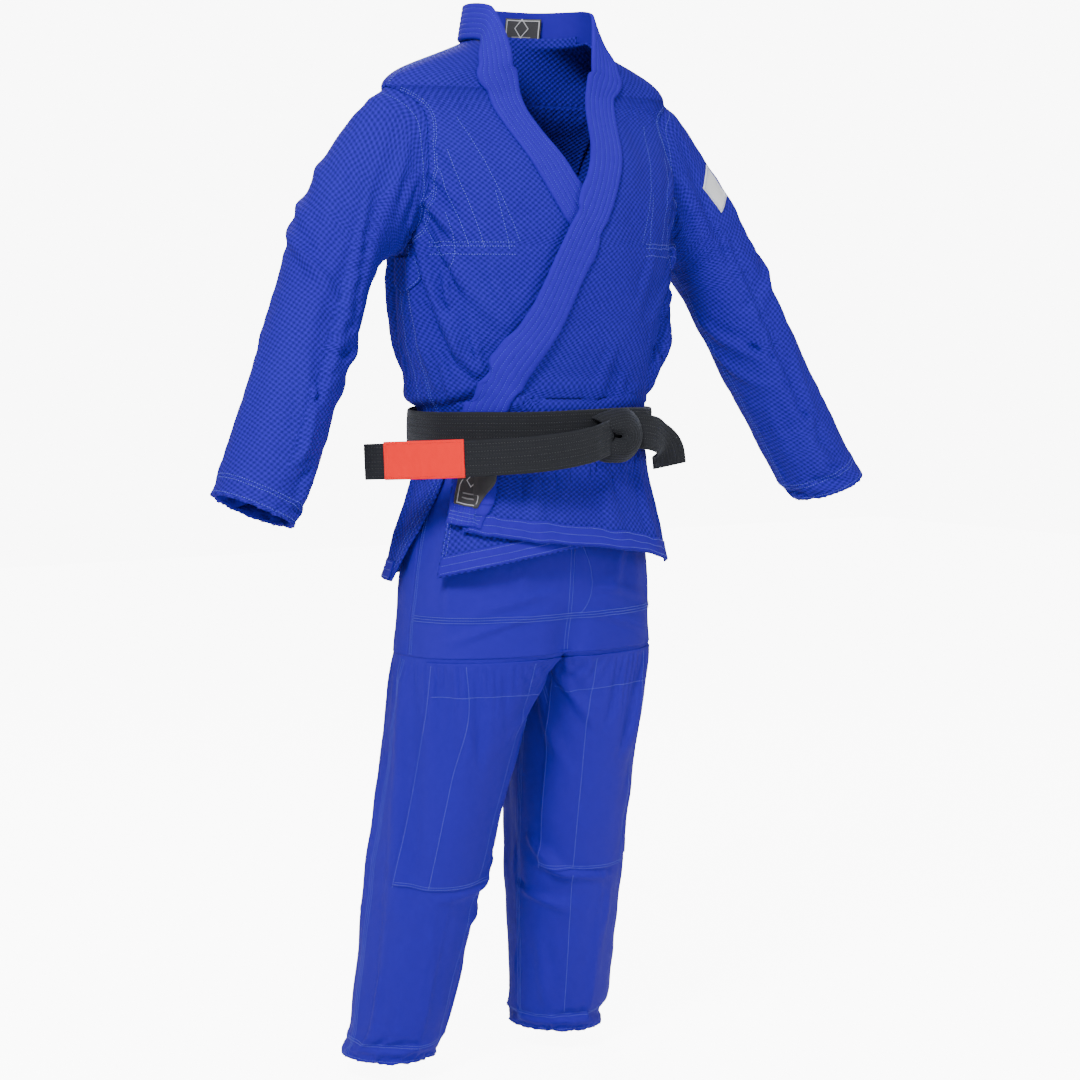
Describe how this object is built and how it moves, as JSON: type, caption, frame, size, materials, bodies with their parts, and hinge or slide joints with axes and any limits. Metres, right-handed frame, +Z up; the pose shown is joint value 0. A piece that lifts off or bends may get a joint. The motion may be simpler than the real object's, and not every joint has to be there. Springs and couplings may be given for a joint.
{
  "type": "martial arts uniform",
  "caption": "Wrap jacket with stitched lapel, tied belt with coloured bar, and reinforced trousers, posed as if worn.",
  "frame": {"origin": "centre of the wearer's waist at mid height of the belt", "axes": "+Z up, -Y the way the wearer faces, +X the wearer's left"},
  "size_m": [0.9978, 0.3635, 1.3878],
  "materials": {
    "jacket_weave": "matt pearl-weave cotton, royal blue",
    "twill_tape": "matt cotton twill with stitched rows",
    "trouser_drill": "matt cotton drill, royal blue",
    "belt_cotton": "black cotton with stitched rows",
    "bar_cotton": "red cotton sleeve with stitched rows",
    "label_cloth": "woven black label",
    "patch_cloth": "plain pale embroidered patch"
  },
  "bodies": {
    "trousers": {"waistband": "trouser_drill", "seat_front": "trouser_drill", "seat_back": "trouser_drill", "crotch_gusset": "trouser_drill"},
    "right_trouser_leg": {"right_leg": "trouser_drill", "right_knee_patch": "trouser_drill", "right_leg_hem": "trouser_drill"},
    "left_trouser_leg": {"left_leg": "trouser_drill", "left_knee_patch": "trouser_drill", "left_leg_hem": "trouser_drill"},
    "jacket": {"jacket_back": "jacket_weave", "right_front": "jacket_weave", "left_front": "jacket_weave", "right_lapel": "twill_tape", "left_lapel": "twill_tape", "right_gusset": "twill_tape", "left_gusset": "twill_tape", "chest_patch": "twill_tape", "neck_label": "label_cloth", "belt_inner_wrap": "belt_cotton", "belt_outer_wrap": "belt_cotton", "belt_knot": "belt_cotton"},
    "right_jacket_sleeve": {"right_sleeve": "jacket_weave", "right_cuff_tape": "twill_tape"},
    "left_jacket_sleeve": {"left_sleeve": "jacket_weave", "left_cuff_tape": "twill_tape", "sleeve_patch": "patch_cloth"},
    "front_skirts": {"right_skirt": "jacket_weave", "left_skirt": "jacket_weave", "right_lapel_end": "twill_tape", "left_lapel_end": "twill_tape", "left_hem_tape": "twill_tape", "right_hem_tape": "twill_tape", "skirt_label": "label_cloth"},
    "back_skirts": {"back_skirt": "jacket_weave", "back_hem_tape": "twill_tape", "vent_patches": "twill_tape"},
    "long_tail": {"belt_long_tail": "belt_cotton", "rank_bar": "bar_cotton"},
    "short_tail": {"belt_short_tail": "belt_cotton"}
  },
  "joints": [
    {"name": "jacket_lift", "type": "slide", "parent": "trousers", "child": "jacket", "axis": [0, 0, 1], "range_m": [0, 0.3]},
    {"name": "right_sleeve_raise", "type": "hinge", "parent": "jacket", "child": "right_jacket_sleeve", "pos_m": [-0.2172, 0.012, 0.434], "axis": [0, 1, 0], "range_deg": [0, 60]},
    {"name": "left_sleeve_raise", "type": "hinge", "parent": "jacket", "child": "left_jacket_sleeve", "pos_m": [0.2172, 0.012, 0.434], "axis": [0, -1, 0], "range_deg": [0, 60]},
    {"name": "right_leg_swing", "type": "hinge", "parent": "trousers", "child": "right_trouser_leg", "pos_m": [-0.0925, -0.1, -0.2897], "axis": [-1, 0, 0], "range_deg": [0, 45], "stiffness_Nm_per_rad": 12},
    {"name": "left_leg_swing", "type": "hinge", "parent": "trousers", "child": "left_trouser_leg", "pos_m": [0.0925, -0.1, -0.2897], "axis": [-1, 0, 0], "range_deg": [0, 45], "stiffness_Nm_per_rad": 12},
    {"name": "front_skirts_swing", "type": "hinge", "parent": "jacket", "child": "front_skirts", "pos_m": [0, -0.119, -0.0262], "axis": [-1, 0, 0], "range_deg": [0, 25], "stiffness_Nm_per_rad": 3},
    {"name": "back_skirt_swing", "type": "hinge", "parent": "jacket", "child": "back_skirts", "pos_m": [0, 0.115, -0.0275], "axis": [1, 0, 0], "range_deg": [0, 25], "stiffness_Nm_per_rad": 3, "deforming": ["back_skirt", "vent_patches"]},
    {"name": "long_tail_swing", "type": "hinge", "parent": "jacket", "child": "long_tail", "pos_m": [0.0158, -0.149, -0.012], "axis": [0, 0, 1], "range_deg": [0, 60]},
    {"name": "short_tail_swing", "type": "hinge", "parent": "jacket", "child": "short_tail", "pos_m": [0.0858, -0.137, -0.004], "axis": [0, 0, -1], "range_deg": [0, 50]}
  ]
}
